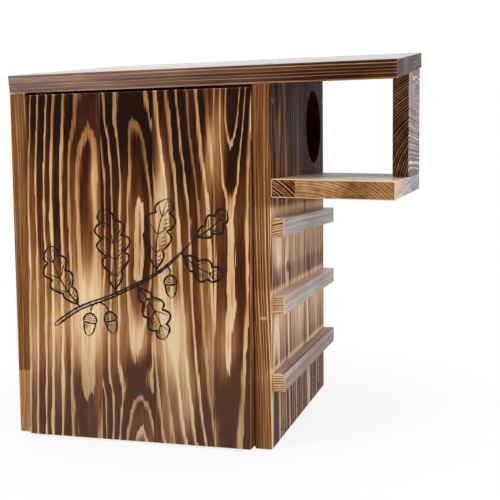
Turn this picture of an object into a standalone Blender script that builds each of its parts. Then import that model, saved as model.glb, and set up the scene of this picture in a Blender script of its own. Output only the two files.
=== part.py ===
"""Squirrel house of flamed softwood boards, with a swinging front, a side balcony and climbing battens.

Metres, +Z up. The front faces -Y and the entrance and its balcony are on the +X side. The origin is the
centre of the footprint, on the surface that the house stands on.
"""

import math

import bmesh
import bpy
from mathutils import Matrix, Vector

# Stock and fits
board = 0.018  # thickness of every glued board
edge_round = 0.0008  # broken edge along each board
seat_gap = 0.0003  # between pieces that touch
overrun = 0.004  # how far a cutter stands out of what it cuts

# House
house_width = 0.280  # over both side walls
house_depth = 0.276  # from the side walls' front edges to the rear face
front_height = 0.360  # side walls at the front, up to the roof
roof_rise = 0.041  # how much higher the side walls are at the rear

# Front door
door_side_gap = 0.0008  # door to side wall, each side
door_top_gap = 0.003  # door to roof at the front
door_ground_gap = 0.0015  # under the closed door
door_pivot_drop = 0.014  # pins below the door's top edge
door_lean = math.radians(2.0)  # how far the floor board holds the closed door off plumb

# Balcony
balcony_reach = 0.120  # balcony floor past the entrance wall
balcony_headroom = 0.0913  # from its floor to the roof, at the wall's front edge
balcony_rise = 0.006  # how much higher its rear end lies
balcony_fall = 0.0035  # how much lower its outer edge lies
screen_width = 0.136  # upright screen, measured along Y
roof_overhang = 0.002  # roof past the balcony floor's outer edge
entrance_radius = 0.043
entrance_step = 0.0123  # hole's lowest point above the balcony floor
entrance_rear_margin = 0.0005  # hole to the rear wall's inner face

# Climbing battens
batten_height = 0.018
batten_thickness = 0.013
batten_drop = 0.0384  # from the balcony floor's top to the highest one's top
batten_names = ("top", "middle", "bottom")

# Screws
screw_length = 0.050
batten_screw_length = 0.027
pivot_screw_length = 0.042
screw_radius = 0.002
screw_head_radius = 0.0039
screw_head_height = 0.0026
screw_tip_radius = 0.0006
screw_tip_length = 0.004
screw_sink = 0.0003  # head below the board's face
pivot_clearance = 0.0004  # around the pins in the door
screw_sides = 10
entrance_sides = 48

# Places of the screws, as shares of the board that they hold
roof_screw_shares = (0.14, 0.80)
roof_rear_screw_shares = (0.26, 0.74)
floor_screw_shares = (0.135, 0.565, 0.92)
rear_wall_screw_shares = (0.12, 0.52, 0.90)
balcony_screw_shares = (0.12, 0.50, 0.88)
screen_screw_shares = (0.22, 0.78)
batten_screw_shares = (0.16, 0.84)

# Where the pieces meet
wall_face = house_width / 2
wall_inside = wall_face - board
front_y = -house_depth / 2
rear_y = house_depth / 2
rear_inside = rear_y - board
roof_slope = roof_rise / house_depth
roof_pitch = math.atan(roof_slope)
pivot_y = front_y + board / 2
pivot_z = front_height - door_top_gap - door_pivot_drop
door_width = 2 * (wall_inside - door_side_gap)
door_drop = (pivot_z - door_ground_gap - board / 2 * math.sin(door_lean)) / math.cos(door_lean)
balcony_edge = wall_face + balcony_reach
roof_edge = balcony_edge + roof_overhang
balcony_height = front_height - balcony_headroom
batten_top = balcony_height - batten_drop
batten_pitch = batten_top / len(batten_names)
screen_inside = balcony_edge - board
screen_front = rear_y - screen_width
entrance_y = rear_inside - entrance_rear_margin - entrance_radius

# Colours of the flamed wood
pale_wood = (0.52, 0.33, 0.17)
scorched_wood = (0.27, 0.13, 0.06)
charred_wood = (0.10, 0.06, 0.045)
zinc = (0.55, 0.53, 0.48)
wood_roughness = 0.75
zinc_roughness = 0.4
zinc_metallic = 0.9
sharp_from = math.radians(30)


def under_roof(y):
    """Height of the roof's underside."""
    return front_height + (y - front_y) * roof_slope


def below_roof(x, y):
    """Height at which a piece ends that carries the roof."""
    return under_roof(y) - seat_gap / math.cos(roof_pitch)


def on_balcony(x, y):
    """Height of the balcony floor's upper face, which is slightly out of level."""
    rise = balcony_rise * (y - front_y) / house_depth
    fall = balcony_fall * (x - wall_face) / balcony_reach
    return balcony_height + rise - fall


def under_balcony(x, y):
    return on_balcony(x, y) - board


def above_balcony(x, y):
    """Height at which a piece starts that stands on the balcony floor."""
    return on_balcony(x, y) + seat_gap


def level(height):
    return lambda x, y: height


def door_inside(height):
    """How far back the closed door's inner face is at a height."""
    return pivot_y + board / 2 / math.cos(door_lean) - (pivot_z - height) * math.tan(door_lean)


def clear_scene():
    for thing in list(bpy.data.objects):
        bpy.data.objects.remove(thing, do_unlink=True)


def make_material(name, colour, roughness, metallic):
    material = bpy.data.materials.new(name)
    material.use_nodes = True
    shader = material.node_tree.nodes["Principled BSDF"]
    shader.inputs["Base Color"].default_value = (*colour, 1)
    shader.inputs["Roughness"].default_value = roughness
    shader.inputs["Metallic"].default_value = metallic
    material.diffuse_color = (*colour, 1)
    return material


def make_object(name, shape):
    """Turn a finished bmesh into an object whose faces point outwards."""
    bmesh.ops.recalc_face_normals(shape, faces=shape.faces)
    mesh = bpy.data.meshes.new(name)
    shape.to_mesh(mesh)
    shape.free()
    made = bpy.data.objects.new(name, mesh)
    bpy.context.scene.collection.objects.link(made)
    return made


def add_hexahedron(shape, lower, upper):
    """Close a six-sided body between two loops of four corners."""
    low = [shape.verts.new(corner) for corner in lower]
    high = [shape.verts.new(corner) for corner in upper]
    shape.faces.new(low)
    shape.faces.new(high)
    for here in range(4):
        after = (here + 1) % 4
        shape.faces.new((low[here], low[after], high[after], high[here]))


def finish_board(name, shape, colour):
    """Make the board with its broken edges and its material."""
    made = make_object(name, shape)
    made.data.materials.append(make_material(name, colour, wood_roughness, 0))
    rounding = made.modifiers.new("broken_edges", "BEVEL")
    rounding.width = edge_round
    rounding.segments = 1
    return made


def make_board(name, x_span, y_span, bottom, top, colour):
    """Make an upright or lying board; bottom and top give its heights over a point."""
    around = [(x_span[0], y_span[0]), (x_span[1], y_span[0]), (x_span[1], y_span[1]), (x_span[0], y_span[1])]
    shape = bmesh.new()
    lower = [(x, y, bottom(x, y)) for x, y in around]
    upper = [(x, y, top(x, y)) for x, y in around]
    add_hexahedron(shape, lower, upper)
    return finish_board(name, shape, colour)


def make_roof():
    """Make the sloping board, its ends cut square to its faces."""
    shift = Vector((0, -math.sin(roof_pitch), math.cos(roof_pitch))) * board
    lower = []
    for x, y in ((-wall_face, front_y), (roof_edge, front_y), (roof_edge, rear_y), (-wall_face, rear_y)):
        lower.append(Vector((x, y, under_roof(y))))
    shape = bmesh.new()
    add_hexahedron(shape, lower, [corner + shift for corner in lower])
    return finish_board("roof_board", shape, scorched_wood)


def make_door():
    """Make the door about its pivot and let it lean as far as the floor board holds it."""
    half = door_width / 2
    around = [(-half, -board / 2), (half, -board / 2), (half, board / 2), (-half, board / 2)]
    shape = bmesh.new()
    lower = [(x, y, -door_drop) for x, y in around]
    upper = [(x, y, door_pivot_drop) for x, y in around]
    add_hexahedron(shape, lower, upper)
    door = finish_board("front_door", shape, scorched_wood)
    door.location = (0, pivot_y, pivot_z)
    door.rotation_euler = (-door_lean, 0, 0)
    return door


def add_turned(shape, profile, start, direction):
    """Add a closed turned body; the profile holds distances along the direction, with radii."""
    turn = Vector(direction).to_track_quat("Z", "Y").to_matrix().to_4x4()
    frame = Matrix.Translation(start) @ turn
    sides = screw_sides
    rings = []
    for distance, radius in profile:
        angles = [math.tau * (side + 0.5) / sides for side in range(sides)]
        points = [Vector((radius * math.cos(angle), radius * math.sin(angle), distance)) for angle in angles]
        rings.append([shape.verts.new(frame @ point) for point in points])
    shape.faces.new(rings[0])
    shape.faces.new(rings[-1])
    for low, high in zip(rings, rings[1:]):
        for side in range(sides):
            after = (side + 1) % sides
            shape.faces.new((low[side], low[after], high[after], high[side]))


def screw_profile(length):
    neck = screw_sink + screw_head_height
    return ((screw_sink, screw_head_radius), (neck, screw_radius),
            (length - screw_tip_length, screw_radius), (length, screw_tip_radius))


def bore_profile(length, clearance):
    """Follow the screw at a clearance, from outside the board to past the tip."""
    neck = screw_sink + screw_head_height
    mouth = screw_head_radius + clearance
    shank = screw_radius + clearance
    return ((-overrun, mouth), (screw_sink, mouth), (neck, shank), (length + seat_gap, shank))


def make_bores(name, places, length, clearance):
    """Make the cutter for a group of screws; places holds a start and a direction for each."""
    shape = bmesh.new()
    for start, direction in places:
        add_turned(shape, bore_profile(length, clearance), start, direction)
    cutter = make_object(name, shape)
    cutter.hide_render = True
    cutter.display_type = "WIRE"
    return cutter


def cut(boards, cutter):
    for target in boards:
        boolean = target.modifiers.new(cutter.name, "BOOLEAN")
        boolean.operation = "DIFFERENCE"
        boolean.solver = "EXACT"
        boolean.object = cutter


def screw_mesh(name, length):
    """Model one screw along +Z, its head's face at the origin."""
    shape = bmesh.new()
    add_turned(shape, screw_profile(length), (0, 0, 0), (0, 0, 1))
    bmesh.ops.recalc_face_normals(shape, faces=shape.faces)
    mesh = bpy.data.meshes.new(name)
    shape.to_mesh(mesh)
    shape.free()
    mesh.shade_smooth()
    mesh.set_sharp_from_angle(angle=sharp_from)
    mesh.materials.append(make_material(name, zinc, zinc_roughness, zinc_metallic))
    return mesh


def make_screws(name, places, length, boards):
    """Drive a row of screws that share a mesh, and cut their holes in the boards that they join."""
    mesh = screw_mesh(name, length)
    for number, (start, direction) in enumerate(places, 1):
        label = name + "_" + str(number) if len(places) > 1 else name
        screw = bpy.data.objects.new(label, mesh)
        bpy.context.scene.collection.objects.link(screw)
        screw.location = start
        screw.rotation_euler = Vector(direction).to_track_quat("Z", "Y").to_euler()
    cut(boards, make_bores(name + "_bores", places, length, seat_gap))


def along(low, high, share):
    return low + (high - low) * share


def make_walls():
    """Make the two side walls, the rear wall and the floor board between them."""
    inside = (-wall_inside + seat_gap, wall_inside - seat_gap)
    boards = {}
    boards["left"] = make_board("left_wall", (-wall_face, -wall_inside), (front_y, rear_y),
                                level(0), below_roof, scorched_wood)
    boards["right"] = make_board("entrance_wall", (wall_inside, wall_face), (front_y, rear_y),
                                 level(0), below_roof, charred_wood)
    boards["rear"] = make_board("rear_wall", inside, (rear_inside, rear_y), level(0), below_roof, scorched_wood)
    floor_front = door_inside(board) + seat_gap
    boards["floor"] = make_board("floor_board", inside, (floor_front, rear_inside - seat_gap),
                                 level(0), level(board), pale_wood)
    return boards


def cut_entrance(wall):
    """Cut the round entrance through the wall."""
    height = on_balcony(wall_face, entrance_y) + entrance_step + entrance_radius
    shape = bmesh.new()
    bmesh.ops.create_cone(shape, cap_ends=True, segments=entrance_sides, radius1=entrance_radius,
                          radius2=entrance_radius, depth=board + 2 * overrun)
    cutter = make_object("entrance_cutter", shape)
    cutter.rotation_euler = (0, math.pi / 2, 0)
    cutter.location = (wall_face - board / 2, entrance_y, height)
    cutter.hide_render = True
    cutter.display_type = "WIRE"
    cut([wall], cutter)


def fasten_walls(boards):
    """Screw the side walls to the floor board and to the rear wall."""
    floor_front = door_inside(board) + seat_gap
    floor_places = [along(floor_front, rear_inside, share) for share in floor_screw_shares]
    heights = [along(0, under_roof(rear_y), share) for share in rear_wall_screw_shares]
    for side, wall, sign in (("left", boards["left"], -1), ("right", boards["right"], 1)):
        inwards = (-sign, 0, 0)
        floor_screws = [((sign * wall_face, y, board / 2), inwards) for y in floor_places]
        make_screws("floor_screw_" + side, floor_screws, screw_length, [wall, boards["floor"]])
        rear_screws = [((sign * wall_face, rear_y - board / 2, z), inwards) for z in heights]
        make_screws("rear_wall_screw_" + side, rear_screws, screw_length, [wall, boards["rear"]])


def fasten_roof(roof, boards):
    """Screw the roof down to the side walls and the rear wall, square to its upper face."""
    upwards = Vector((0, -math.sin(roof_pitch), math.cos(roof_pitch)))
    feet = []
    for x in (-wall_face + board / 2, wall_face - board / 2):
        for share in roof_screw_shares:
            feet.append((x, along(front_y, rear_y, share)))
    for share in roof_rear_screw_shares:
        feet.append((along(-wall_face, wall_face, share), rear_y - board / 2))
    places = [(Vector((x, y, under_roof(y))) + upwards * board, -upwards) for x, y in feet]
    make_screws("roof_screw", places, screw_length, [roof, boards["left"], boards["right"], boards["rear"]])


def make_balcony(roof, boards):
    """Make the balcony floor and its outer screen, and screw them on."""
    floor = make_board("balcony_floor", (wall_face + seat_gap, balcony_edge), (front_y, rear_y),
                       under_balcony, on_balcony, pale_wood)
    screen = make_board("balcony_screen", (screen_inside, balcony_edge), (screen_front, rear_y),
                        above_balcony, below_roof, scorched_wood)
    wall_screws = []
    for share in balcony_screw_shares:
        y = along(front_y, rear_y, share)
        wall_screws.append(((wall_inside, y, under_balcony(wall_face, y) + board / 2), (1, 0, 0)))
    make_screws("balcony_floor_screw", wall_screws, screw_length, [boards["right"], floor])
    x = balcony_edge - board / 2
    upwards = Vector((0, -math.sin(roof_pitch), math.cos(roof_pitch)))
    lower = []
    upper = []
    for share in screen_screw_shares:
        y = along(screen_front, rear_y, share)
        lower.append(((x, y, under_balcony(x, y)), (0, 0, 1)))
        upper.append((Vector((x, y, under_roof(y))) + upwards * board, -upwards))
    make_screws("balcony_screen_screw_lower", lower, screw_length, [floor, screen])
    make_screws("balcony_screen_screw_upper", upper, screw_length, [roof, screen])


def make_battens(wall):
    """Make the climbing battens, each screwed on from inside the house."""
    span = (wall_face + seat_gap, wall_face + seat_gap + batten_thickness)
    for step, word in enumerate(batten_names):
        top = batten_top - step * batten_pitch
        batten = make_board("climbing_batten_" + word, span, (front_y, rear_y),
                            level(top - batten_height), level(top), scorched_wood)
        places = []
        for share in batten_screw_shares:
            y = along(front_y, rear_y, share)
            places.append(((wall_inside, y, top - batten_height / 2), (1, 0, 0)))
        make_screws(word + "_batten_screw", places, batten_screw_length, [wall, batten])


def hang_door(boards):
    """Make the door and the two pins that it swings on."""
    door = make_door()
    for side, wall, sign in (("left", boards["left"], -1), ("right", boards["right"], 1)):
        place = [((sign * wall_face, pivot_y, pivot_z), (-sign, 0, 0))]
        make_screws("door_pivot_screw_" + side, place, pivot_screw_length, [wall])
        loose = make_bores("door_pivot_bore_" + side, place, pivot_screw_length, pivot_clearance)
        cut([door], loose)


def main():
    clear_scene()
    boards = make_walls()
    cut_entrance(boards["right"])
    roof = make_roof()
    fasten_walls(boards)
    fasten_roof(roof, boards)
    make_balcony(roof, boards)
    make_battens(boards["right"])
    hang_door(boards)


main()
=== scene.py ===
"""Looks of the squirrel house: flamed softwood boards, countersunk screws and an ink drawing."""
import random
from math import atan2, cos, pi, radians, sin, sqrt

import bmesh
import bpy
import numpy
from mathutils import Matrix, Vector


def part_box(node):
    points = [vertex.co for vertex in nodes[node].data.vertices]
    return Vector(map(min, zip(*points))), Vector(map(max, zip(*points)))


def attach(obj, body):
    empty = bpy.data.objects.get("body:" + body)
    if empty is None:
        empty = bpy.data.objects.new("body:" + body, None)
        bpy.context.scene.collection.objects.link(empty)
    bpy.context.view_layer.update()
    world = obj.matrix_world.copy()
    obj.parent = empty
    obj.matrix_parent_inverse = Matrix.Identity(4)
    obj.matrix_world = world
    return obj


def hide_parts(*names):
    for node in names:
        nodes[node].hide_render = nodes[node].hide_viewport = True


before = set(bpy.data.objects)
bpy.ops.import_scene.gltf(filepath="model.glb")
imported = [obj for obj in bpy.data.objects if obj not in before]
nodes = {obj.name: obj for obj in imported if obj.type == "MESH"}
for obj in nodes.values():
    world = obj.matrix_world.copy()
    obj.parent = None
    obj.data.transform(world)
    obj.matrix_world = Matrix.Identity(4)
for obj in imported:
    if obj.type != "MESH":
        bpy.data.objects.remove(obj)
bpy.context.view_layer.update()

x_axis = Vector((1.0, 0.0, 0.0))
y_axis = Vector((0.0, 1.0, 0.0))
z_axis = Vector((0.0, 0.0, 1.0))

# Door: its pins, its face and the tilt at which it hangs closed
door_pivot = Vector((0.0, -0.129, 0.343))
door_face = -0.009
door_lean = radians(2.0)
door_depth = Vector((0.0, cos(door_lean), -sin(door_lean)))
door_along = Vector((0.0, sin(door_lean), cos(door_lean)))

# Roof slope
roof_slope = atan2(0.041, 0.276)
roof_across = Vector((0.0, cos(roof_slope), sin(roof_slope)))
roof_depth = Vector((0.0, -sin(roof_slope), cos(roof_slope)))

# Camera, solved from the straight edges of the boards
camera_place = Vector((0.34761, -0.96746, 0.27315))
camera_turn = 0.26919
camera_tilt = 0.08568
camera_roll = -0.01037
camera_lens = 63.37
camera_sensor = 36.0


# Colours
def shade(*colour):
    """Turn a colour of 0 to 255, as seen on a screen, into Blender's linear values."""
    linear = []
    for value in colour:
        share = value / 255
        linear.append(share / 12.92 if share <= 0.04045 else ((share + 0.055) / 1.055) ** 2.4)
    return (*linear, 1.0)


# Flamed wood, from untouched pale latewood to charcoal: share of charring and colour
char_colours = (
    (0.00, shade(230, 203, 163)),
    (0.14, shade(213, 173, 126)),
    (0.30, shade(184, 139, 93)),
    (0.46, shade(144, 96, 54)),
    (0.62, shade(105, 61, 30)),
    (0.78, shade(69, 36, 17)),
    (0.92, shade(43, 21, 10)),
    (1.00, shade(31, 15, 9)),
)
# Pale grey of a painted sheen: a painted reflection of the bright room on faces seen at a grazing angle
painted_sheen_grey = shade(156, 144, 150)

# How squarely a face has to look along an axis to count as a board's edge or end
turned = (0.72, 0.9)


# Node trees
def placing(operation, swapped=False):
    """Make a method of Wire that places the node for an operation."""
    def place(self, *others):
        values = (self, *others)
        return self.wiring.math(operation, *(values[::-1] if swapped else values))
    return place


class Wire:
    """A value in a node tree; working something out from it places the nodes that do so."""

    def __init__(self, wiring, socket):
        self.wiring = wiring
        self.socket = socket

    __add__ = __radd__ = placing("ADD")
    __mul__ = __rmul__ = placing("MULTIPLY")
    __sub__ = placing("SUBTRACT")
    __rsub__ = placing("SUBTRACT", swapped=True)
    __truediv__ = placing("DIVIDE")
    __rtruediv__ = placing("DIVIDE", swapped=True)
    at_least = placing("MAXIMUM")
    at_most = placing("MINIMUM")
    more_than = placing("GREATER_THAN")
    less_than = placing("LESS_THAN")
    size = placing("ABSOLUTE")
    floor = placing("FLOOR")
    root = placing("SQRT")
    exponent = placing("EXPONENT")
    dot = placing("DOT_PRODUCT")
    length = placing("LENGTH")

    def smooth(self, low, high, start=0.0, end=1.0):
        """Go gently from start to end while this value goes from low to high."""
        sockets = dict(enumerate((self, low, high, start, end)))
        return self.wiring.wire("ShaderNodeMapRange", sockets, interpolation_type="SMOOTHSTEP")

    def mix(self, first, second):
        """Go from one number to another while this value goes from 0 to 1."""
        return self.wiring.wire("ShaderNodeMix", {0: self, 2: first, 3: second}, data_type="FLOAT")

    def tint(self, first, second):
        """Do the same with colours."""
        return self.wiring.wire("ShaderNodeMix", {0: self, 6: first, 7: second}, output=2, data_type="RGBA")

    def parts(self):
        return self.wiring.wires("ShaderNodeSeparateXYZ", {"Vector": self})

    def noise(self, detail, scale=1.0):
        """Noise from 0 to 1 at this number or place."""
        line = self.socket.type != "VECTOR"
        sockets = {"W" if line else "Vector": self, "Scale": scale, "Detail": detail}
        return self.wiring.wire("ShaderNodeTexNoise", sockets, noise_dimensions="1D" if line else "3D")

    def chances(self):
        """Three random shares for this number."""
        kind = "ShaderNodeTexWhiteNoise"
        return self.wiring.wire(kind, {"W": self}, output="Color", noise_dimensions="1D").parts()

    def bump(self, distance, strength):
        sockets = {"Height": self, "Distance": distance, "Strength": strength}
        return self.wiring.wire("ShaderNodeBump", sockets)

    def curve(self, points):
        """Follow a smooth line through points of (input, output), both in their own units."""
        (low, high), (bottom, top) = ((min(values), max(values)) for values in zip(*points))
        width = max(high - low, 1e-6)
        height = max(top - bottom, 1e-6)
        share = self.wiring.math("DIVIDE", self - low, width, clamp=True)
        node = self.wiring.add("ShaderNodeFloatCurve", {"Value": share})
        line = node.mapping.curves[0].points
        places = [((across - low) / width, (up - bottom) / height) for across, up in sorted(points)]
        line[0].location = places[0]
        line[-1].location = places[-1]
        for place in places[1:-1]:
            line.new(*place)
        node.mapping.update()
        return Wire(self.wiring, node.outputs[0]) * height + bottom


class Wires(list):
    """The outputs of a node: in their order, and by their names in small letters."""

    def __init__(self, wiring, sockets):
        super().__init__(Wire(wiring, socket) for socket in sockets)
        for wire in self:
            setattr(self, wire.socket.name.lower().replace(" ", "_"), wire)


class Wiring:
    """Adds nodes to a node tree and joins their sockets."""

    def __init__(self, tree):
        self.tree = tree

    def feed(self, socket, value):
        if isinstance(value, Wire):
            self.tree.links.new(value.socket, socket)
        else:
            socket.default_value = value

    def add(self, kind, sockets=None, **settings):
        node = self.tree.nodes.new(kind)
        for name, value in settings.items():
            setattr(node, name, value)
        for name, value in (sockets or {}).items():
            self.feed(node.inputs[name], value)
        return node

    def wire(self, kind, sockets=None, output=0, **settings):
        return Wire(self, self.add(kind, sockets, **settings).outputs[output])

    def wires(self, kind, sockets=None, **settings):
        return Wires(self, self.add(kind, sockets, **settings).outputs)

    def use(self, group, **sockets):
        """Place a node group; an input's name is given with underscores for its spaces."""
        named = {name.replace("_", " ").title(): value for name, value in sockets.items()}
        return self.wires("ShaderNodeGroup", named, node_tree=group)

    def math(self, operation, *values, clamp=False):
        """Work on numbers, or on vectors if there is one among the wires."""
        if any(isinstance(value, Wire) and value.socket.type == "VECTOR" for value in values):
            node = self.add("ShaderNodeVectorMath", operation=operation)
            output = "Value" if operation in ("DOT_PRODUCT", "LENGTH") else "Vector"
        else:
            node = self.add("ShaderNodeMath", operation=operation, use_clamp=clamp)
            output = 0
        for socket, value in zip(node.inputs, values):
            self.feed(socket, value)
        return Wire(self, node.outputs[output])

    def join(self, *values):
        return self.wire("ShaderNodeCombineXYZ", dict(zip("XYZ", values)))

    def show(self, sockets, shader="ShaderNodeBsdfPrincipled", target="ShaderNodeOutputMaterial"):
        """Place the last shader and the tree's output."""
        self.add(target, {"Surface": self.wire(shader, sockets)})


def node_group(name, outputs, **inputs):
    """Make a shader node group of a function; an input without a number is a vector."""
    def make(build):
        tree = bpy.data.node_groups.new(name, "ShaderNodeTree")
        for label, value in inputs.items():
            kind = "NodeSocketVector" if value is None else "NodeSocketFloat"
            label = label.replace("_", " ").title()
            socket = tree.interface.new_socket(label, in_out="INPUT", socket_type=kind)
            if value is not None:
                socket.default_value = value
        for label, kind in outputs.items():
            tree.interface.new_socket(label, in_out="OUTPUT", socket_type="NodeSocket" + kind)
        wiring = Wiring(tree)
        results = build(wiring, wiring.wires("NodeGroupInput"))
        for socket, value in zip(wiring.add("NodeGroupOutput").inputs, results):
            wiring.feed(socket, value)
        return tree
    return make


def new_material(name):
    material = bpy.data.materials.new(name)
    material.use_nodes = True
    material.node_tree.nodes.clear()
    return material, Wiring(material.node_tree)


def new_object(name, data):
    item = bpy.data.objects.new(name, data)
    bpy.context.scene.collection.objects.link(item)
    return item


def span(aside, deep):
    """The distance that two lengths at right angles make."""
    return (aside * aside + deep * deep).root()


@node_group(
    "Board frame", {"Position": "Vector", "Facing": "Vector"},
    centre=None, across=None, depth=None, along=None)
def board_frame(wiring, given):
    """Give a point's place across, into and along a board, and which way its face looks."""
    where = wiring.wires("ShaderNodeTexCoord")
    axes = (given.across, given.depth, given.along)
    sources = (where.object - given.centre, where.normal)
    return [wiring.join(*(source.dot(axis) for axis in axes)) for source in sources]


@node_group("Grain streaks", {"Value": "Float"}, position=None, width=0.01, length=0.1, seed=0.0)
def streaks(wiring, given):
    """Noise drawn out along the grain, from about -0.5 to 0.5."""
    fine = 1.0 / given.width
    scaled = given.position * wiring.join(fine, fine, 1.0 / given.length)
    sockets = {"Vector": scaled, "W": given.seed, "Scale": 1.0, "Detail": 2.0, "Roughness": 0.5}
    return [wiring.wire("ShaderNodeTexNoise", sockets, noise_dimensions="4D") - 0.5]


@node_group(
    "Glued strips", {"Distance": "Float", "Seam": "Float", "Tint": "Float", "Place": "Vector"},
    position=None, strip_width=0.06, shift=0.0, pith_reach=0.03, pith_depth=0.05, wander=0.012, seed=0.0)
def glued_strips(wiring, given):
    """Boards glued from strips: each strip has its own pith, so its rings curve in their own way."""
    across, depth, along = given.position.parts()
    share = (across + given.shift) / given.strip_width
    strip = share.floor()
    inside = share - strip - 0.5
    key = strip * 3.7 + given.seed
    first, second, tint = key.chances()
    sway = (along * 5.0 + key * 9.1).noise(1.0) - 0.5
    swell = (along * 6.0 + key * 5.3).noise(1.0) - 0.5
    side = (first - 0.5) * 2.0 * given.pith_reach + sway * 2.0 * given.wander
    below = (0.3 + second * 0.7) * given.pith_depth + swell * 2.0 * given.wander
    distance = span(inside * given.strip_width - side, depth - below)
    edge = (0.5 - inside.size()) * given.strip_width
    moved = given.position + wiring.join(0.0, strip * 0.31, strip * 0.47)
    return distance, edge.smooth(0.0007, 0.0002), tint, moved


@node_group(
    "Flame spot", {"Scorch": "Float"}, position=None, middle=None, reach=None, strength=0.2, before=0.0)
def flame_spot(wiring, given):
    """A patch that the burner held on longer, or passed over quickly."""
    far = ((given.position - given.middle) / given.reach).length()
    return [given.before + far.smooth(1.0, 0.1) * given.strength]


@node_group(
    "Knot", {"Distance": "Float", "Core": "Float"},
    position=None, middle=None, radius=0.004, distance=0.0, core_before=0.0)
def knot(wiring, given):
    """A small knot: rings part around it, and its core has a tone of its own."""
    offset = (given.position - given.middle).parts()
    far = span(offset.x, offset.z * 0.42) / given.radius
    push = far.smooth(4.2, 0.0) * given.radius * 1.6
    flat = wiring.join(offset.x, 0.0, offset.z).length()
    core = (flat / given.radius).smooth(1.0, 0.75)
    return given.distance + push, core.at_least(given.core_before)


@node_group(
    "Flamed grain", {"Colour": "Color", "Roughness": "Float", "Height": "Float"},
    position=None, facing=None, distance=0.05, ring_width=0.005, scorch=0.6, patchiness=0.6, deepest=1.0,
    contrast=0.9, end_scorch=0.4, end_contrast=0.2, edge_wear=0.35, edge_calm=0.55, edge_contrast=0.4,
    edge_scorch=0.52, waviness=0.002, silvering=0.0, tint=0.5, seam=0.0, core=0.0, soot=0.0, fringe=0.14,
    unevenness=0.8, grain_shift=0.0, seed=0.0, late_start=0.68)
def flamed_grain(wiring, given):
    """Softwood, scorched and brushed: soft early wood chars, hard late wood stays pale."""
    def streak(width, length, salt):
        seed = given.seed + salt
        return wiring.use(streaks, position=given.position, width=width, length=length, seed=seed).value

    # Rings
    sides = given.facing.size().parts()
    edge = sides.x.smooth(*turned)
    bent = given.distance + streak(0.020, 0.110, 1.3) * given.waviness
    ragged = streak(0.0045, 0.045, 2.9) + streak(0.0013, 0.035, 3.6) * 1.15
    count = bent / given.ring_width + given.grain_shift + ragged * given.fringe
    spread = (count * 0.5 + given.seed).noise(0.0) - 0.5
    count = count + spread * given.unevenness
    ring = count.floor()
    phase = count - ring
    strong, darker, wide = (ring + given.seed * 7.3).chances()
    begin = given.late_start - wide * 0.20
    late = phase.smooth(begin, begin + 0.22) * phase.smooth(1.0, 0.97)
    hard = late * strong.smooth(-0.15, 0.6, 0.34, 1.0)

    # Scorching
    fibre = streak(0.00055, 0.022, 4.1)
    brush = streak(0.0016, 0.050, 5.7)
    flame = streak(0.0052, 0.075, 6.5)
    patch = streak(0.024, 0.085, 8.2)
    burn = given.scorch + patch * given.patchiness * 2.0 + flame * given.patchiness * 0.8
    burn = burn + brush * 0.34 + fibre * 0.16 + (darker - 0.5) * 0.22
    burn = burn.at_most(given.deepest)
    burn = (edge * given.edge_calm).mix(burn, given.edge_scorch + brush * 0.5)
    calm = edge.mix(1.0, given.edge_contrast)
    clean = (given.scorch * 0.32 - 0.10).at_least(0.0)
    pale = (clean + flame * 0.4 + brush * 0.22).at_most(burn)
    char = (hard * given.contrast * calm).mix(burn, pale)

    # End grain
    end = sides.z.smooth(*turned)
    end_char = given.end_scorch + late * given.end_contrast
    end_char = end_char + patch * 0.6 + flame * 0.3 + fibre * 0.10
    char = end.mix(char, end_char)

    # Worn arrises
    flattest = sides.x.at_least(sides.y).at_least(sides.z)
    worn = flattest.smooth(0.97, 0.80) * given.edge_wear * brush.smooth(-0.25, 0.1)
    char = char - worn

    # Knots and soot
    char = given.core.mix(char, 0.34 + flame * 1.2)
    char = given.soot.mix(char, 0.97).at_least(0.0)

    # Colour
    ramp = wiring.add("ShaderNodeValToRGB", {"Fac": char})
    ramp.color_ramp.interpolation = "LINEAR"
    elements = ramp.color_ramp.elements
    while len(elements) < len(char_colours):
        elements.new(0.5)
    for element, (position, colour) in zip(elements, char_colours):
        element.position = position
        element.color = colour
    check = streak(0.0011, 0.055, 11.0).smooth(0.17, 0.24)
    light = 1.0 + fibre * 0.42 + (given.tint - 0.5) * 0.22
    light = light * (1.0 - check * 0.30) * (1.0 - given.seam * 0.45)
    # Painted sheen: faces turned to the bright room are greyed and veiled toward a pale grey, a painted
    # reflection
    painted_sheen_saturation = 1.0 - given.silvering * 0.7
    sockets = {"Color": Wire(wiring, ramp.outputs[0]), "Value": light, "Saturation": painted_sheen_saturation}
    colour = wiring.wire("ShaderNodeHueSaturation", sockets)
    painted_sheen_veil = given.silvering * (0.30 + brush * 0.5)

    # Surface
    rough = 0.60 + fibre * 0.25 + hard * -0.08
    raised = hard * 0.55 + fibre * 0.35 + brush * 0.25 - (check * 0.35 + given.seam * 0.3)
    return painted_sheen_veil.tint(colour, painted_sheen_grey), rough, raised


# Boards
# Lengths are in millimetres. Places across, into and along a board are counted from its centre, the
# door's from its pins. A value may follow the board as pairs of (place along, value). A spot is its
# middle and its reach, across and along (for an edge also into it), and what it adds to the scorching; a
# knot is its middle and its radius. Coat, painted sheen and inside are amounts for faces that look across,
# into and along; the painted sheen greys faces seen at a grazing angle, a painted reflection of the bright
# room, and its strength along the board is given apart. Butt is the corner of a lower piece.
wood_gloss = 0.04
bare_wood = 0.16
usual_ring = 4.5
per_metre = 1000

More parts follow.
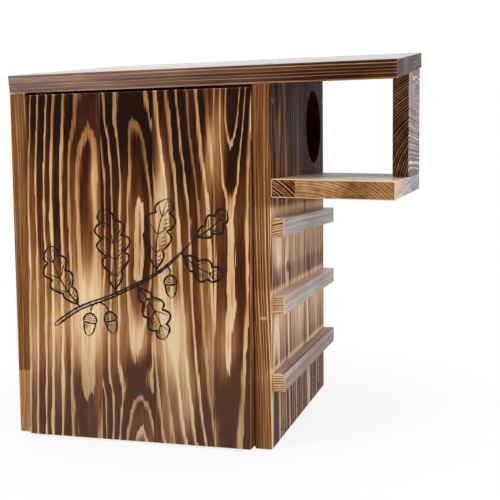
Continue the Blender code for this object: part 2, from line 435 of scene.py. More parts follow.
# What holds for a board unless its entry says otherwise
usual_board = dict(
    end=(0.6, -0.2), unevenness=0.8, contrast=0.9, deepest=1.0, edge_calm=0.62, edge_contrast=0.4,
    edge_scorch=0.52, edge_wear=0.35, waviness=1.6, fringe=0.16, relief=0.4, sheen=0.01,
    coat_roughness=0.34, coat_index=1.5, bare_from=(-1000, -900), spots=(), edge_spots=(), knots=())
side_wall = dict(axes=(y_axis, x_axis, z_axis), bare_from=(-118, -110), edge_calm=0.9)
batten = dict(
    axes=(z_axis, x_axis, y_axis), patchiness=0.3, edge_calm=0.85, contrast=0.6, sheen=0.1,
    edge_contrast=0.5)


# Where a strip shows pointed flames, its rings are counted from the pith's line: crest is that count
# along the board, within reach of the line, rest is the count far from it, and tight is the distance at
# which the rings are twice as close.
def strip(edge, side, deep, ring=usual_ring, **more):
    """A glued strip: its far edge, its pith's place, its ring width and what else is its own."""
    return dict(more, edge=edge, side=side, deep=deep, ring=ring)


boards = dict(
    left_wall=dict(
        side_wall, seed=3, patchiness=0.45, butt=(-94, -133), inside=(0, 1, 0), edge_contrast=0.55,
        edge_scorch=((-200, 0.5), (-120, 0.61), (0, 0.58), (200, 0.56)),
        scorch=((-200, 0.58), (-100, 0.55), (50, 0.6), (200, 0.8)),
        strips=(
            strip(-94, -122, ((-200, 55), (0, 64), (200, 60)), 2.6),
            strip(-32, -60, ((-200, -30), (0, -41), (200, -36))),
            strip(26, 20, ((-200, 50), (200, 36)), 4),
            strip(82, 45, ((-200, -28), (50, -40), (200, -30))),
            strip(1000, 150, 30, 3.8))),
    entrance_wall=dict(
        side_wall, seed=12, patchiness=0.34, inside=(0, -1, 0), hole=(76.5, 128.2, 43),
        # Painted sheen on the outer face, fading out above the middle: a painted reflection
        contrast=((-200, 0.84), (0, 0.86), (50, 0.56), (200, 0.44)), silver=(0, 1, 0),
        fade=((-200, 0.22), (20, 0.2), (60, 0), (200, 0)), edge_contrast=0.9,
        edge_scorch=((-200, 0.46), (-140, 0.49), (-60, 0.59), (200, 0.57)),
        edge_spots=(((-138, 1, -68.5), (10, 7, 3), -0.38),),
        scorch=(
            (-200, 0.82), (-155, 0.8), (-132, 0.5), (-122, 0.16), (-116, 0.58), (-104, 0.5), (-70, 0.3),
            (-46, 0.16), (-41, 0.34), (-34, 0.68), (-18, 0.46), (12, 0.28), (30, 0.04), (38, 0.14),
            (48, 0.7), (130, 0.9), (200, 0.96)),
        deepest=((-200, 0.84), (-140, 0.84), (-120, 1), (200, 1)), knots=((-73, -24.5, 3.4),),
        spots=(
            (-106, -2, 16, 45, -0.5), (-20, 90, 50, 30, 0.1), (-133, -20, 10, 45, 0.4),
            (-60, -5, 10, 30, -0.2), (-84, -175, 8, 50, -0.3), (50, -170, 6, 50, -0.3),
            (-100, 150, 7, 55, -0.4), (-62, 105, 11, 80, -0.3), (-120, 140, 22, 100, 0.3),
            (-12, 110, 10, 90, -0.22), (137, -20, 14, 240, 0.75), (75, -6, 60, 30, 0.06),
            (-125, -180, 12, 55, 0.7)),
        strips=(
            strip(
                -83, ((-200, -121), (-130, -119), (30, -111), (200, -105)),
                ((-200, -61.2), (-130, -61.8), (0, -64), (200, -55)), 2.8),
            strip(-26, -90, ((-200, -22), (200, -34)), 8.2),
            strip(31, 60, ((-200, -20), (200, -30)), 9),
            strip(88, 30, ((-200, -34), (200, -44)), 8),
            strip(1000, 50, -30, 8.8))),
    rear_wall=dict(
        axes=(x_axis, y_axis, z_axis), seed=21, patchiness=0.5, strip=64, shift=9, inside=(0, -1, 0),
        scorch=((-200, 0.78), (-50, 0.6), (80, 0.58), (200, 0.86)), knots=((52, 62, 5), (-71, -94, 3.6))),
    floor_board=dict(
        axes=(y_axis, z_axis, x_axis), seed=33, patchiness=0.45, strip=60, shift=18, inside=(0, 1, 0),
        scorch=((-120, 0.66), (120, 0.66))),
    roof_board=dict(
        axes=(roof_across, roof_depth, x_axis), seed=41, patchiness=0.36, end=(1, -0.46),
        scorch=((-200, 0.6), (-50, 0.68), (50, 0.86), (200, 0.98)), edge_calm=0.22, edge_wear=0.1,
        waviness=1.2, coat=(0, 1, 0), coat_roughness=0.16, coat_index=2.4, relief=0.2,
        # Painted sheen on the front edge and the right end, strongest at the left and at the end: a painted
        # reflection
        edge_contrast=((-200, 0.34), (-50, 0.5), (60, 0.75), (200, 0.78)), silver=(-1, 0, 1),
        fade=((-200, 0.46), (-60, 0.3), (60, 0.12), (140, 0.02), (195, 0.02), (201, 0.38)),
        knots=((-11, 48, 5),),
        strips=(
            strip(-93, ((-200, -115), (200, -128)), ((-200, -48), (200, -52)), 3.3, end=(1.06, -0.34)),
            strip(-36, -30, ((-200, -46), (0, -56), (200, -44)), 4, end=(1.26, -0.9)),
            strip(24, 12, ((-200, -45), (60, -34), (200, -40))),
            strip(85, 52, ((-200, -60), (-50, -48), (200, -58)), 5),
            strip(1000, 122, -62, 4.2, end=(1.16, -0.66)))),
    balcony_floor=dict(
        axes=(x_axis, z_axis, y_axis), seed=52, patchiness=0.36, end=(0.36, 0.17), edge_calm=0.3,
        scorch=((-138, 0), (-100, 0.06), (-60, 0.2), (0, 0.42), (138, 0.62)), sheen=0.1, coat=(0.2, 0.6, 0),
        # Painted sheen on the top and the outer side, strong from a little behind the front: a painted
        # reflection
        silver=(1.15, 0.6, 0), fade=((-138, 0.1), (-100, 0.2), (-70, 0.9), (138, 0.9)),
        strips=(
            strip(-36.1, -118, -86, 2.7, end=(0.84, -0.46)),
            strip(1000, ((-138, -34), (138, -20)), ((-138, -112), (138, -100)), 2.7))),
    balcony_screen=dict(
        axes=(z_axis, x_axis, y_axis), seed=63, patchiness=0.42, end=(0.82, -0.44), edge_calm=0.3,
        # Painted sheen on the outer face: a painted reflection
        scorch=((-70, 0.7), (70, 0.76)), sheen=0.03, coat=(0, 0.2, 0), silver=(0, 1, 0), fade=0.7,
        edge_contrast=0.9, knots=((33, -20, 6),),
        strips=(strip(1000, -76, 68, 2.6),)),
    climbing_batten_top=dict(
        batten, seed=71, end=(0.11, 0.42), scorch=((-138, 0.46), (138, 0.56)), coat=(0.6, 0.36, 0),
        # Painted sheen on the top and outer faces: a painted reflection
        silver=(0.5, 1, 0), fade=1.15, edge_scorch=0.02,
        strips=(strip(1000, -85, 18, 2.4),)),
    climbing_batten_middle=dict(
        batten, seed=82, end=(0.22, 0.38), scorch=((-138, 0.5), (138, 0.6)), coat=(0.5, 0.36, 0),
        # Painted sheen on the top and outer faces: a painted reflection
        silver=(0.6, 1, 0), fade=0.8, edge_scorch=0.04,
        strips=(strip(1000, -95, 4, 2.4),)),
    climbing_batten_bottom=dict(
        batten, seed=93, end=(0.14, 0.46), edge_calm=0.8, contrast=0.65, scorch=((-138, 0.54), (138, 0.66)),
        # Painted sheen on the top and outer faces: a painted reflection
        coat=(0.1, 0.34, 0), silver=(0.9, 1, 0), fade=0.55, edge_contrast=0.6, edge_scorch=0.54,
        strips=(strip(1000, 90, -6, 2.4),)),
    front_door=dict(
        axes=(x_axis, door_depth, door_along), centre=door_pivot, seed=0, patchiness=0.34, end=(0.7, -0.3),
        edge_calm=0.2, waviness=3, contrast=((-341, 0.96), (-60, 0.96), (-20, 0.87), (14, 0.8)), fringe=0.34,
        # Painted light near the bottom of the front face: a painted sheen, and the char kept lighter there
        # as painted light from the floor
        unevenness=0.25, inside=(0, 1, 0), silver=(0, -1, 0),
        fade=((-341, 0.13), (-270, 0.09), (-200, 0), (14, 0)),
        deepest=((-341, 0.75), (-260, 0.73), (-170, 0.82), (-90, 0.95), (-50, 1), (14, 1)),
        scorch=(
            (-341, 0.69), (-300, 0.68), (-262, 0.54), (-230, 0.45), (-200, 0.48), (-140, 0.58), (-100, 0.68),
            (-60, 0.83), (-30, 0.93), (14, 0.97)),
        spots=(
            (4, -30, 28, 90, 0.1), (-78, -10, 30, 60, 0.08), (104, -50, 28, 70, 0.1),
            (3, -280, 35, 40, 0.24), (-58, -330, 40, 60, 0.14), (110, -315, 26, 75, 0.4),
            (115, -190, 15, 150, 0.3), (8, -150, 20, 50, 0.2), (-85, -135, 18, 100, 0.12),
            (-52, -215, 26, 85, -0.42), (-88, -230, 12, 90, -0.22), (44, -235, 20, 70, -0.35),
            (56, -300, 14, 70, -0.45), (29, -90, 12, 100, -0.5), (-46, -75, 11, 60, -0.42),
            (78, -160, 45, 90, 0.15), (30, -190, 9, 60, -0.3), (3, -235, 16, 35, -0.32),
            (88, -28, 15, 85, -0.5), (78, -60, 9, 60, -0.3)),
        strips=(
            strip(
                -37.5, ((-341, -55), (-165, -53), (-100, -54), (-28, -52), (14, -50)), -14, 14,
                unevenness=0.8, tight=150, reach=15, rest=0.75, seed=5,
                crest=(
                    (-341, 1.45), (-310, 1.3), (-288, 1), (-262, 0.84), (-200, 0.76), (-165, 0.58),
                    (-130, 0.44), (-100, 0.4), (-60, 0.52), (-45, 0.62), (-28, 1), (-10, 1.3), (14, 1.45))),
            strip(
                19,
                ((-341, 5), (-300, 4), (-262, -1), (-200, 2), (-100, 4.5), (-40, 1.5), (-12, -3), (14, -5)),
                -15, 13, tight=90, rest=0.5, seed=9, reach=((-341, 26), (-290, 19), (-260, 17), (14, 17)),
                crest=(
                    (-341, -0.35), (-318, 0.18), (-303, 0.6), (-293, 1), (-277, 1.45), (-262, 1),
                    (-245, 0.84), (-225, 0.62), (-200, 0.4), (-182, 0.05), (-165, -0.18), (-120, -0.2),
                    (-100, -0.1), (-88, 0.08), (-75, 0.3), (-55, 0.48), (-35, 0.62), (-12, 1), (0, 1.35),
                    (14, 1.5))),
            strip(
                83, ((-341, 19), (-300, 13), (-200, 5), (-100, 0), (-40, -7), (14, -12)), 1, 10.4, seed=14,
                shift=0.42),
            strip(
                1000, ((-341, 96), (-290, 97), (-250, 98), (-180, 101), (-90, 100), (14, 103)), -12, 12,
                tight=300, reach=13, rest=1.55, seed=18, late_start=0.8,
                crest=(
                    (-341, 2.4), (-300, 2.28), (-278, 2.1), (-262, 1.94), (-240, 1.88), (-100, 1.86),
                    (-88, 1.74), (-78, 1.45), (-55, 1.2), (-42, 0.98), (-30, 0.6), (-10, 0.25),
                    (14, 0.1))))))


def metres(value):
    """Turn millimetres into metres, one by one or in tuples."""
    return tuple(metres(item) for item in value) if isinstance(value, tuple) else value / per_metre


def follow(along, value, unit=1):
    """A value that is fixed or changes along the board, with its number of units to one."""
    if isinstance(value, tuple):
        return along.curve([(place / per_metre, item / unit) for place, item in value])
    return value / unit


def laid_strips(position, spec):
    """Lay the strips of a board side by side; each has its own pith, rings and end grain."""
    across, depth, along = position.parts()
    laid = None
    seam = 0.0
    for number, item in enumerate(spec["strips"]):
        aside = across - follow(along, item["side"], per_metre)
        deep = depth - follow(along, item["deep"], per_metre)
        distance = span(aside, deep)
        shift = item.get("shift", 0.37 * number)
        if "crest" in item:
            distance = distance - deep
            distance = distance * (1.0 + distance / metres(item["tight"]))
            share = aside / follow(along, item["reach"], per_metre)
            near = (share * share * -1.0).exponent()
            shift = near.mix(item["rest"], follow(along, item["crest"]))
        end_scorch, end_contrast = item.get("end", spec["end"])
        own = dict(
            distance=distance, ring_width=metres(item["ring"]), grain_shift=shift, end_scorch=end_scorch,
            end_contrast=end_contrast, seed=item.get("seed", spec["seed"] + number),
            tint=0.5 + 0.3 * sin(5.1 * number), late_start=item.get("late_start", 0.68),
            unevenness=item.get("unevenness", spec["unevenness"]))
        if laid:
            beyond = across.more_than(edge)
            own = {key: beyond.mix(laid[key], own[key]) for key in own}
            seam = (across - edge).size().smooth(0.0005, 0.0001).at_least(seam)
        laid = own
        edge = metres(item["edge"])
    return dict(laid, seam=seam, position=position)


def random_strips(position, spec):
    """Lay strips of one width whose piths are left to chance."""
    strips = position.wiring.use(
        glued_strips, position=position, strip_width=metres(spec["strip"]), shift=metres(spec["shift"]),
        pith_reach=0.026, pith_depth=0.05, wander=0.006, seed=spec["seed"])
    end_scorch, end_contrast = spec["end"]
    return dict(
        distance=strips.distance, ring_width=metres(usual_ring), seed=spec["seed"], end_scorch=end_scorch,
        end_contrast=end_contrast, tint=strips.tint, seam=strips.seam, position=strips.place)


def flamed_board(name, spec):
    """Make the material of one board."""
    low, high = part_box(name)
    centre = spec.get("centre", (low + high) / 2)
    across, depth, along = spec["axes"]
    material, wiring = new_material("flamed_spruce_" + name)
    own = wiring.use(board_frame, centre=centre, across=across, depth=depth, along=along)
    place = own.position.parts()
    lay = laid_strips if "strips" in spec else random_strips
    laid = lay(own.position, spec)

    def spotted(scorch, spots):
        for middle, reach, strength in spots:
            scorch = wiring.use(
                flame_spot, position=own.position, middle=metres(middle), reach=metres(reach),
                strength=strength, before=scorch).scorch
        return scorch

    def on_faces(amounts):
        return own.facing.dot(amounts).at_least(0.0)

    flat_spots = [((x, 0, z), (wide, 1000, long), more) for x, z, wide, long, more in spec["spots"]]
    scorch = spotted(follow(place.z, spec["scorch"]), flat_spots)
    edge_scorch = spotted(follow(place.z, spec["edge_scorch"]), spec["edge_spots"])
    if "butt" in spec:
        # The lower piece is less burnt, and its rings and tint are its own
        joint_across, joint_along = metres(spec["butt"])
        lower = place.x.less_than(joint_across) * place.z.less_than(joint_along)
        scorch = scorch - lower * 0.12
        laid["distance"] = laid["distance"] + lower * 0.0017
        laid["tint"] = laid["tint"] + lower * 0.4
        edge_scorch = edge_scorch - lower * 0.19
    core = 0.0
    for x, z, radius in spec["knots"]:
        around = wiring.use(
            knot, position=own.position, middle=metres((x, 0, z)), radius=metres(radius),
            distance=laid["distance"], core_before=core)
        laid["distance"] = around.distance
        core = around.core
    soot = 0.0
    if "inside" in spec:
        inner = own.facing.dot(spec["inside"]).smooth(0.5, 0.8)
        bare = place.x.smooth(*metres(spec["bare_from"]))
        scorch = (inner * bare).mix(scorch, bare_wood)
        soot = inner * (1.0 - bare) * 0.6
    if "hole" in spec:
        hole_across, hole_along, radius = metres(spec["hole"])
        far = (own.position * (1.0, 0.0, 1.0) - (hole_across, 0.0, hole_along)).length()
        bore = far.smooth(radius + 0.0008, radius + 0.0001)
        soot = (bore * 0.58).at_least(soot)
    # Painted sheen: faces that look the given ways are greyed, a painted reflection of the bright room at a
    # grazing angle
    silver = on_faces(spec["silver"]) * follow(place.z, spec["fade"]) if "silver" in spec else 0.0
    coat = on_faces(spec["coat"]) if "coat" in spec else 0.0
    for key in ("patchiness", "contrast", "deepest", "edge_calm", "edge_contrast", "edge_wear", "fringe"):
        laid[key] = follow(place.z, spec[key])
    grain = wiring.use(
        flamed_grain, facing=own.facing, scorch=scorch, edge_scorch=edge_scorch, core=core, soot=soot,
        silvering=silver, waviness=metres(spec["waviness"]), **laid)
    wiring.show({
        "Base Color": grain.colour, "Roughness": grain.roughness, "Specular IOR Level": wood_gloss,
        "Sheen Weight": spec["sheen"], "Sheen Roughness": 0.45, "Sheen Tint": (0.94, 0.90, 1.0, 1.0),
        "Coat Weight": coat, "Coat Roughness": spec["coat_roughness"], "Coat IOR": spec["coat_index"],
        "Normal": grain.height.bump(metres(spec["relief"]), 1.0)})
    return material


for board_name, board_spec in boards.items():
    nodes[board_name].data.materials.clear()
    nodes[board_name].data.materials.append(flamed_board(board_name, dict(usual_board, **board_spec)))


# Ink drawing on the door: an oak twig with leaves and acorns, in millimetres across and along the door
ink_height = 0.00010
ink_layer = 0.0000015
ink_root = 0.00005
twig_line = ((-90, -224), (-62, -206), (-22, -191), (22, -169), (46, -150), (62, -134))

# Base, angle, length, width, bend and number of lobes
leaf_shapes = (
    ((22, -169), 80, 74, 33, 5, 4),
    ((-22, -191), 99, 86, 37, -6, 5),
    ((62, -134), 40, 42, 22, -3, 3),
    ((-62, -206), 119, 70, 31, 5, 4),
    ((48, -148), -27, 47, 23, -4, 3),
    ((1, -180), -61, 60, 28, 4, 4),
)

# Stalk, angle, length and width
acorn_shapes = (
    (((-44, -200), (-49, -205), (-50, -211)), -97, 25, 15),
    (((-41, -199), (-33, -203), (-30, -209)), -76, 24, 14),
    (((34, -160), (37, -165), (37, -170)), -86, 24, 14),
)


def through(points, step=1.2):
    """Lay a smooth line through a few points and give points about one step apart on it."""
    line = []
    last = len(points) - 1
    for number in range(last):
        before, start, end, after = (
            Vector(points[max(0, min(last, number + shift))]) for shift in (-1, 0, 1, 2))
        pieces = max(3, round((end - start).length / step))
        for piece in range(pieces + (number == last - 1)):
            t = piece / pieces
            line.append(0.5 * (
                2 * start + (end - before) * t + (2 * before - 5 * start + 4 * end - after) * t * t
                + (3 * start - before - 3 * end + after) * t ** 3))
    return line


def is_inside(point, outline):
    """Tell whether a point lies inside a closed outline."""
    inside = False
    for number, corner in enumerate(outline):
        other = outline[number - 1]
        if (corner.y > point.y) != (other.y > point.y):
            crossing = (other.x - corner.x) * (point.y - corner.y) / (other.y - corner.y) + corner.x
            inside ^= point.x < crossing
    return inside


def left_of(ahead):
    return Vector((-ahead.y, ahead.x))


def left_at(line, number):
    """The direction that is left of a line at one of its points."""
    return left_of(line[min(len(line) - 1, number + 1)] - line[max(0, number - 1)]).normalized()


def headings(angle):
    """The direction at an angle, and the one to its left."""
    heading = Vector((cos(radians(angle)), sin(radians(angle))))
    return heading, left_of(heading)


class InkDrawing:
    """Brush strokes on the door's face: each is a thin closed ribbon that swells and thins out."""

    def __init__(self):
        self.shape = bmesh.new()
        self.strokes = 0
        self.covers = []
        self.chance = random.Random(11)

    def corner(self, point, height):
        place = door_pivot + x_axis * (point.x * 0.001) + door_along * (point.y * 0.001)
        return self.shape.verts.new(place + door_depth * (door_face - height))

    def ribbon(self, line, width, start, end):
        height = ink_height + ink_layer * self.strokes
        self.strokes += 1
        sway = self.chance.uniform(0.0, 6.0)
        rows = []
        for number, point in enumerate(line):
            share = number / (len(line) - 1)
            swell = min(
                1.0, (share / start) ** 0.7 if start else 1.0, ((1 - share) / end) ** 0.7 if end else 1.0)
            uneven = 1.0 + 0.16 * sin(sway + number * 0.9) + self.chance.uniform(-0.10, 0.10)
            aside = left_at(line, number) * max(0.10, 0.5 * width * swell * uneven)
            rows.append([
                self.corner(point + aside, height), self.corner(point - aside, height),
                self.corner(point - aside, -ink_root), self.corner(point + aside, -ink_root)])
        for first, second in zip(rows, rows[1:]):
            for side in range(4):
                other = (side + 1) % 4
                self.shape.faces.new((first[side], first[other], second[other], second[side]))
        self.shape.faces.new(rows[0][::-1])
        self.shape.faces.new(rows[-1])

    def stroke(self, line, width, start=0.3, end=0.3):
        """Draw a line, apart from what lies behind a leaf or acorn that is already there."""
        run = []
        for point in list(line) + [None]:
            if point is None or any(is_inside(point, outline) for outline in self.covers):
                if len(run) > 2:
                    self.ribbon(run, width, start, end)
                run = []
            else:
                run.append(point)

    def leaf(self, base, angle, length, width, bend, lobes):
        """Lobed outline, midrib, side veins and shading of one oak leaf."""
        heading, beside = headings(angle)
        root = Vector(base) + heading * 3.0

        def spine(t):
            return root + heading * (length * t) + beside * (bend * sin(pi * t))

        def rim(t, side, share=1.0):
            body = sin(pi * t ** 1.15) ** 0.75
            lobe = 0.50 + 0.50 * abs(sin(pi * lobes * t * 0.97 + 0.12 * side)) ** 0.7
            far = 0.5 * width * body * lobe * share
            return spine(min(1.0, t + 0.10 * far / width)) + beside * (side * far)

        steps = 16 * lobes
        sides = []
        for side in (1, -1):
            sides.append([rim(number / steps, side) for number in range(steps)] + [spine(1.0)])
            self.stroke(sides[-1], 1.9, 0.10, 0.12)
        self.stroke(through([Vector(base)] + [spine(t / 6) for t in range(7)]), 1.5, 0.0, 0.8)
        for number in range(lobes):
            middle = (number + 0.5) / lobes
            for side in (1, -1):
                foot = spine(max(0.03, middle - 0.13))
                top = rim(middle, side, 0.80)
                bow = (foot + top) / 2 + heading * (-0.04 * length / lobes)
                self.stroke(through((foot, bow, top)), 1.0, 0.0, 0.9)
            for count in range(3):
                low = middle - 0.05 + 0.055 * count
                self.stroke(through((rim(low, -1, 0.30), rim(low + 0.03, -1, 0.72)), 0.9), 0.7, 0.2, 0.8)
        self.covers.append(sides[0] + sides[1][::-1])

    def acorn(self, stalk, angle, length, width):
        """Stalk, scaly cup and smooth nut of one acorn."""
        heading, beside = headings(angle)
        top = Vector(stalk[-1])

        def at(along, aside):
            return top + heading * (along * length) + beside * (aside * width)

        def cup(share):
            return 0.50 * sqrt(max(0.0, 1 - ((0.38 - share) / 0.38) ** 2))

        def nut(share):
            return 0.43 * sqrt(max(0.0, 1 - ((share - 0.34) / 0.60) ** 2.4))

        cup_shares = [0.38 * number / 10 for number in range(11)]
        nut_shares = [0.38 + 0.56 * number / 16 for number in range(17)]
        sides = []
        for side in (1, -1):
            cup_line = [at(share, side * cup(share)) for share in cup_shares]
            nut_line = [at(share, side * nut(share)) for share in nut_shares]
            self.stroke(cup_line, 1.8, 0.0, 0.1)
            self.stroke(nut_line, 1.6, 0.0, 0.2)
            sides.append(cup_line + nut_line)
        rim = [0.5 - number / 12 for number in range(13)]
        self.stroke([at(0.38 + 0.035 * cos(pi * aside), aside) for aside in rim], 1.6, 0.1, 0.1)
        self.stroke(through((at(0.93, 0.0), at(1.0, 0.01)), 0.6), 1.1, 0.0, 0.9)
        for row in range(3):
            share = 0.09 + 0.10 * row
            half = cup(share) * 0.86
            for number in range(3 + row):
                middle = half * (2 * (number + 0.5) / (3 + row) - 1)
                wide = half / (3 + row) * 0.75
                foot = share - 0.03
                scale = (at(foot, middle - wide), at(share + 0.035, middle), at(foot, middle + wide))
                self.stroke(through(scale, 0.8), 0.6)
        for number in range(4):
            aside = -0.34 + 0.075 * number
            shine = (at(0.46, aside), at(0.62, aside * 0.98), at(0.80 - 0.06 * number, aside * 0.80))
            self.stroke(through(shine), 0.5, 0.2, 0.7)
        self.covers.append(sides[0] + sides[1][::-1])
        self.stroke(through(stalk), 1.5, 0.0, 0.3)

    def twig(self, points):
        """Two edges of the twig, nearer each other towards its end, and the marks of its bark."""
        line = through(points)
        total = len(line) - 1
        for side in (1, -1):
            edge = []
            for number, point in enumerate(line):
                edge.append(point + left_at(line, number) * side * (1.9 - 1.3 * number / total))
            self.stroke(edge, 1.7, 0.06, 0.25)
        cut = line[0]
        back = cut - (line[1] - cut).normalized() * 0.9
        half = left_at(line, 0) * 2.0
        self.stroke(through((cut + half, back, cut - half), 0.8), 1.1)
        for number in range(4, total - 10, 5):
            ahead = (line[number + 1] - line[number]).normalized()
            foot = line[number] + left_of(ahead) * self.chance.uniform(-0.7, 0.7)
            self.stroke(through((foot, foot + ahead * self.chance.uniform(2.0, 4.0)), 0.8), 0.5)


def ink_material():
    """Black drawing ink that has sunk a little into the wood, with drier places in its strokes."""
    material, wiring = new_material("black_ink")
    where = wiring.wires("ShaderNodeTexCoord").object
    fibres = (where * (1800.0, 1800.0, 130.0)).noise(2.0)
    dry = (where.noise(3.0, 420.0) * 0.6 + fibres * 0.4).smooth(0.52, 0.68)
    wiring.show({
        "Base Color": (dry * 0.6).tint(shade(14, 11, 10), shade(50, 34, 25)),
        "Roughness": 0.50 + dry * 0.3, "Specular IOR Level": 0.2, "Normal": fibres.bump(0.0002, 0.5)})
    return material


def draw_twig():
    drawing = InkDrawing()
    for shape in acorn_shapes:
        drawing.acorn(*shape)
    drawing.twig(twig_line)
    for shape in leaf_shapes:
        drawing.leaf(*shape)
    bmesh.ops.recalc_face_normals(drawing.shape, faces=drawing.shape.faces[:])
    mesh = bpy.data.meshes.new("oak_twig_drawing")
    drawing.shape.to_mesh(mesh)
    drawing.shape.free()
    mesh.materials.append(ink_material())
    piece = new_object("oak_twig_drawing", mesh)
    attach(piece, "door")


draw_twig()


# Screws: rows of alike ones, how many each has, and the sizes that all share
screw_rows = {
    "floor_screws_left": 3, "floor_screws_right": 3, "rear_wall_screws_left": 3,
    "rear_wall_screws_right": 3, "roof_screws": 6, "balcony_floor_screws": 3,
    "balcony_screen_screws_lower": 2, "balcony_screen_screws_upper": 2, "top_batten_screws": 2,
    "middle_batten_screws": 2, "bottom_batten_screws": 2,
}
pivot_screws = ("door_pivot_screw_left", "door_pivot_screw_right")
screw_sizes = {
    "Head Radius": 0.00385, "Head Height": 0.0025, "Shank Radius": 0.0019, "Core Radius": 0.00138,
    "Thread Height": 0.0005, "Thread Pitch": 0.0024, "Tip Length": 0.0055, "Recess Length": 0.0042,
    "Recess Width": 0.0009, "Recess Depth": 0.0017,
}


def screw_tree():
    """Countersunk wood screws with a cross recess: one at each point, aimed as the point says."""
    tree = bpy.data.node_groups.new("Countersunk screws", "GeometryNodeTree")
    tree.is_modifier = True
    inputs = {"Geometry": "Geometry", "Length": "Float", **dict.fromkeys(screw_sizes, "Float")}
    for name, kind in {**inputs, "Material": "Material"}.items():
        tree.interface.new_socket(name, in_out="INPUT", socket_type="NodeSocket" + kind)
    tree.interface.new_socket("Geometry", in_out="OUTPUT", socket_type="NodeSocketGeometry")
    wiring = Wiring(tree)
    given = wiring.wires("NodeGroupInput")

    def lifted(shape, height):
        sockets = {"Geometry": shape, "Translation": wiring.join(0.0, 0.0, height)}
        return wiring.wire("GeometryNodeTransform", sockets)

    def rod(start, end, low, high, vertices):
        """A round length between two heights that may taper."""
        sockets = {"Vertices": vertices, "Radius Bottom": start, "Radius Top": end, "Depth": high - low}
        return lifted(wiring.wire("GeometryNodeMeshCone", sockets), low)

    # Head with its cross recess
    head = rod(given.head_radius, given.shank_radius, 0.0, given.head_height, 32)
    wide, long = given.recess_width, given.recess_length
    for size in ((long, wide), (wide, long)):
        slot = wiring.wire("GeometryNodeMeshCube", {"Size": wiring.join(*size, given.recess_depth * 2.0)})
        pair = {"Mesh 1": head, "Mesh 2": slot}
        head = wiring.wire("GeometryNodeMeshBoolean", pair, operation="DIFFERENCE", solver="EXACT")

    # Plain shank, threaded core and point
    inset = 0.0003
    thread_start = given.length * 0.38
    point_start = given.length - given.tip_length
    thread_length = point_start - thread_start
    shank = rod(given.shank_radius, given.shank_radius, given.head_height * 0.8, thread_start, 20)
    core = rod(given.core_radius, given.core_radius, thread_start - inset, point_start, 16)
    point = rod(given.core_radius * 0.97, 0.0001, point_start - inset, given.length - inset, 16)
    spiral = wiring.wire("GeometryNodeCurveSpiral", {
        "Resolution": 14, "Rotations": thread_length / given.thread_pitch, "Height": thread_length,
        "Start Radius": given.core_radius, "End Radius": given.core_radius})
    circle = {"Resolution": 3, "Radius": given.thread_height}
    ridge = wiring.wire("GeometryNodeCurvePrimitiveCircle", circle, mode="RADIUS")
    sweep = {"Curve": spiral, "Profile Curve": ridge, "Fill Caps": True}
    thread = lifted(wiring.wire("GeometryNodeCurveToMesh", sweep), thread_start)

    # One screw at each point
    joined = wiring.add("GeometryNodeJoinGeometry")
    for shape in (head, shank, core, point, thread):
        wiring.feed(joined.inputs[0], shape)
    aim = wiring.wire(
        "GeometryNodeInputNamedAttribute", {"Name": "aim"}, output="Attribute", data_type="FLOAT_VECTOR")
    turn = wiring.wire("FunctionNodeAlignRotationToVector", {"Vector": aim}, axis="Z")
    placed = wiring.wire("GeometryNodeInstanceOnPoints", {
        "Points": given.geometry, "Instance": Wire(wiring, joined.outputs[0]), "Rotation": turn})
    real = wiring.wire("GeometryNodeRealizeInstances", {"Geometry": placed})
    coated = wiring.wire("GeometryNodeSetMaterial", {"Geometry": real, "Material": given.material})
    wiring.add("NodeGroupOutput", {"Geometry": coated})
    return tree


def steel_material():
    """Zinc-plated steel, dulled and sooted by the flame."""
    material, wiring = new_material("sooted_steel")
    where = wiring.wires("ShaderNodeTexCoord").object
    soot = where.noise(3.0, 600.0).smooth(0.38, 0.62)
    grit = where.noise(1.0, 3500.0)
    wiring.show({
        "Base Color": soot.tint(shade(92, 86, 80), shade(44, 36, 32)), "Roughness": 0.38 + soot * 0.28,
        "Metallic": 1.0 - soot * 0.35, "Normal": grit.bump(0.00005, 0.4)})
    return material


def screw_line(name):
    """Find where a screw's head lies, which way the screw points and how long it is, from its solid."""
    corners = numpy.array([vertex.co for vertex in nodes[name].data.vertices]).round(6)
    corners = numpy.unique(corners, axis=0)
    middle = corners.mean(axis=0)
    axis = numpy.linalg.eigh(numpy.cov((corners - middle).T))[1][:, -1]
    along = (corners - middle) @ axis
    aside = numpy.linalg.norm(corners - middle - numpy.outer(along, axis), axis=1)
    if along[aside.argmax()] > 0:
        axis = -axis
        along = -along
    return Vector(middle + axis * along.min()), Vector(axis), float(along.max() - along.min())


def drive_screws(row, names, tree, steel):
    """Put the screws of one row where their solids are."""
    lines = [screw_line(name) for name in names]
    mesh = bpy.data.meshes.new(row + "_places")
    mesh.from_pydata([line[0] for line in lines], [], [])
    aims = mesh.attributes.new("aim", "FLOAT_VECTOR", "POINT")
    for item, line in zip(aims.data, lines):
        item.vector = line[1]
    places = new_object(row + "_places", mesh)
    modifier = places.modifiers.new("screws", "NODES")
    modifier.node_group = tree
    values = dict(screw_sizes, Length=lines[0][2], Material=steel)
    for item in tree.interface.items_tree:
        if item.in_out == "INPUT" and item.name in values:
            modifier[item.identifier] = values[item.name]
    made = bpy.data.meshes.new_from_object(places.evaluated_get(bpy.context.evaluated_depsgraph_get()))
    bpy.data.objects.remove(places)
    made.name = row
    piece = new_object(row, made)
    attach(piece, "house")
    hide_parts(*names)


countersunk_screws = screw_tree()
sooted_steel = steel_material()
for row_name, total in screw_rows.items():
    single = row_name.replace("screws", "screw")
    row_nodes = [f"{single}_{number + 1}" for number in range(total)]
    drive_screws(row_name, row_nodes, countersunk_screws, sooted_steel)
drive_screws("door_pivot_screws", pivot_screws, countersunk_screws, sooted_steel)


# Stage
white = (1.0, 1.0, 1.0, 1.0)


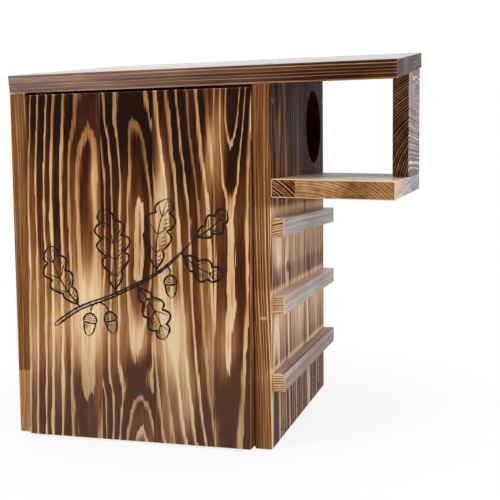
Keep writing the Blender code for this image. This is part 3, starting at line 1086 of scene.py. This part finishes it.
def stage_material():
    """Pale floor: keeps the shadow near the house and runs out into white."""
    material, wiring = new_material("pale_floor")
    far = (wiring.wires("ShaderNodeTexCoord").object * (1.0, 1.0, 0.0)).length().smooth(0.20, 0.50)
    rays = wiring.wires("ShaderNodeLightPath")
    seen = rays.is_camera_ray.at_least(rays.is_glossy_ray).at_least(rays.is_transmission_ray)
    paper = wiring.wire("ShaderNodeBsdfDiffuse", {"Color": (0.86, 0.86, 0.86, 1.0)})
    glow = wiring.wire("ShaderNodeEmission", {"Color": white, "Strength": 1.0})
    wiring.show({0: seen * far.mix(0.84, 1.0), 1: paper, 2: glow}, "ShaderNodeMixShader")
    return material


def make_floor():
    half = 4.0
    height = -0.0003
    mesh = bpy.data.meshes.new("floor")
    corners = [(-half, -half, height), (half, -half, height), (half, half, height), (-half, half, height)]
    mesh.from_pydata(corners, [], [(0, 1, 2, 3)])
    floor = new_object("floor", mesh)
    mesh.materials.append(stage_material())


def make_light(name, place, target, size, watts):
    lamp = bpy.data.lights.new(name, "AREA")
    lamp.shape = "DISK"
    lamp.size = size
    lamp.energy = watts
    item = new_object(name, lamp)
    item.location = place
    item.rotation_euler = (Vector(target) - Vector(place)).to_track_quat("-Z", "Y").to_euler()


def make_world():
    """Soft white room, dimmer on the camera's side; white where the camera sees it."""
    world = bpy.data.worlds.new("studio")
    bpy.context.scene.world = world
    world.use_nodes = True
    world.node_tree.nodes.clear()
    wiring = Wiring(world.node_tree)
    direction = wiring.wires("ShaderNodeTexCoord").generated.parts()
    strength = direction.y.smooth(-0.75, 0.25, 0.30, 1.0)
    strength = wiring.wires("ShaderNodeLightPath").is_camera_ray.mix(strength, 1.0)
    wiring.show({"Color": white, "Strength": strength}, "ShaderNodeBackground", "ShaderNodeOutputWorld")


def make_camera():
    forward = Vector((
        -cos(camera_tilt) * sin(camera_turn),
        cos(camera_tilt) * cos(camera_turn),
        -sin(camera_tilt)))
    level = Vector((cos(camera_turn), sin(camera_turn), 0.0))
    above = level.cross(forward)
    right = cos(camera_roll) * level + sin(camera_roll) * above
    up = -sin(camera_roll) * level + cos(camera_roll) * above
    data = bpy.data.cameras.new("camera")
    data.sensor_width = camera_sensor
    data.lens = camera_lens
    camera = new_object("camera", data)
    turn = Matrix((right, up, -forward)).transposed()
    camera.matrix_world = Matrix.Translation(camera_place) @ turn.to_4x4()
    bpy.context.scene.camera = camera


make_floor()
make_world()
make_light("key", (-1.1, -1.7, 1.9), (0.0, 0.0, 0.2), 1.4, 34.0)
make_light("fill", (1.9, -0.5, 1.1), (0.1, 0.0, 0.2), 1.2, 12.0)
make_camera()
bpy.context.scene.view_settings.view_transform = "Standard"

bpy.context.view_layer.update()
